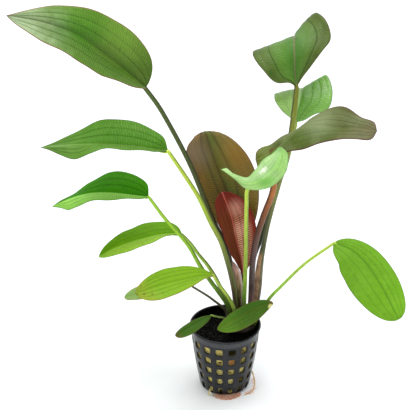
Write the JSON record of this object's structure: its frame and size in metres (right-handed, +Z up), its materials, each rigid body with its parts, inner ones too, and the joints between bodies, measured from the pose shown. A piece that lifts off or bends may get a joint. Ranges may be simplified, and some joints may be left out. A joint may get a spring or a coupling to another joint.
{
  "type": "potted echinodorus",
  "caption": "Potted aquarium plant: a rosette of stalked, lance-shaped leaves in green, bronze and red, growing out of a dark net pot filled with rockwool.",
  "frame": {"origin": "centre of the pot's flat underside, where it stands", "axes": "+Z up along the pot's axis; +X to the right in the picture; +Y away from the viewer"},
  "size_m": [0.263, 0.17, 0.2919],
  "materials": {
    "pot_plastic": "satin charcoal moulded plastic",
    "rockwool": "matt pale khaki mineral wool",
    "dark_substrate": "matt, dark and grainy",
    "crown": "matt rootstock",
    "root_tan": "fine tan root",
    "root_pale": "short cream root",
    "root_pink": "fine pink-orange root mat",
    "blade_leaf_green": "satin leaf blade with parallel veins",
    "blade_olive_green": "satin leaf blade with parallel veins",
    "blade_dark_green": "satin leaf blade with parallel veins",
    "blade_yellow_green": "satin leaf blade with parallel veins",
    "blade_pale_green": "satin leaf blade with parallel veins",
    "blade_bronze": "satin leaf blade with parallel veins",
    "blade_deep_red": "satin leaf blade with parallel veins",
    "stem_leaf_green": "satin fleshy leaf stem",
    "stem_olive_green": "satin fleshy leaf stem",
    "stem_dark_green": "satin fleshy leaf stem",
    "stem_yellow_green": "satin fleshy leaf stem",
    "stem_pale_green": "satin fleshy leaf stem",
    "stem_bronze": "satin fleshy leaf stem",
    "stem_deep_red": "satin fleshy leaf stem"
  },
  "bodies": {
    "root": {"pot": "pot_plastic", "rockwool_plug": "rockwool", "dark_substrate": "dark_substrate", "crown": "crown", "root_loop": "root_tan", "root_strand": "root_pale", "root_mat": "root_pink", "leaf_top_left": "blade_olive_green", "stem_top_left": "stem_olive_green", "leaf_upper_left": "blade_leaf_green", "stem_upper_left": "stem_leaf_green", "leaf_middle_left": "blade_dark_green", "stem_middle_left": "stem_dark_green", "leaf_lower_left": "blade_yellow_green", "stem_lower_left": "stem_yellow_green", "leaf_front_left": "blade_yellow_green", "stem_front_left": "stem_yellow_green", "leaf_hidden_left": "blade_leaf_green", "stem_hidden_left": "stem_leaf_green", "leaf_rim_left": "blade_dark_green", "stem_rim_left": "stem_dark_green", "leaf_rim_front": "blade_dark_green", "stem_rim_front": "stem_dark_green", "leaf_bronze_back": "blade_bronze", "stem_bronze_back": "stem_bronze", "leaf_red_young": "blade_deep_red", "stem_red_young": "stem_deep_red", "leaf_pale_curled": "blade_pale_green", "stem_pale_curled": "stem_pale_green", "leaf_top_right": "blade_olive_green", "stem_top_right": "stem_olive_green", "leaf_glossy_right": "blade_pale_green", "stem_glossy_right": "stem_pale_green", "leaf_bronze_right": "blade_bronze", "stem_bronze_right": "stem_bronze", "leaf_far_right": "blade_leaf_green", "stem_far_right": "stem_leaf_green"}
  },
  "joints": []
}
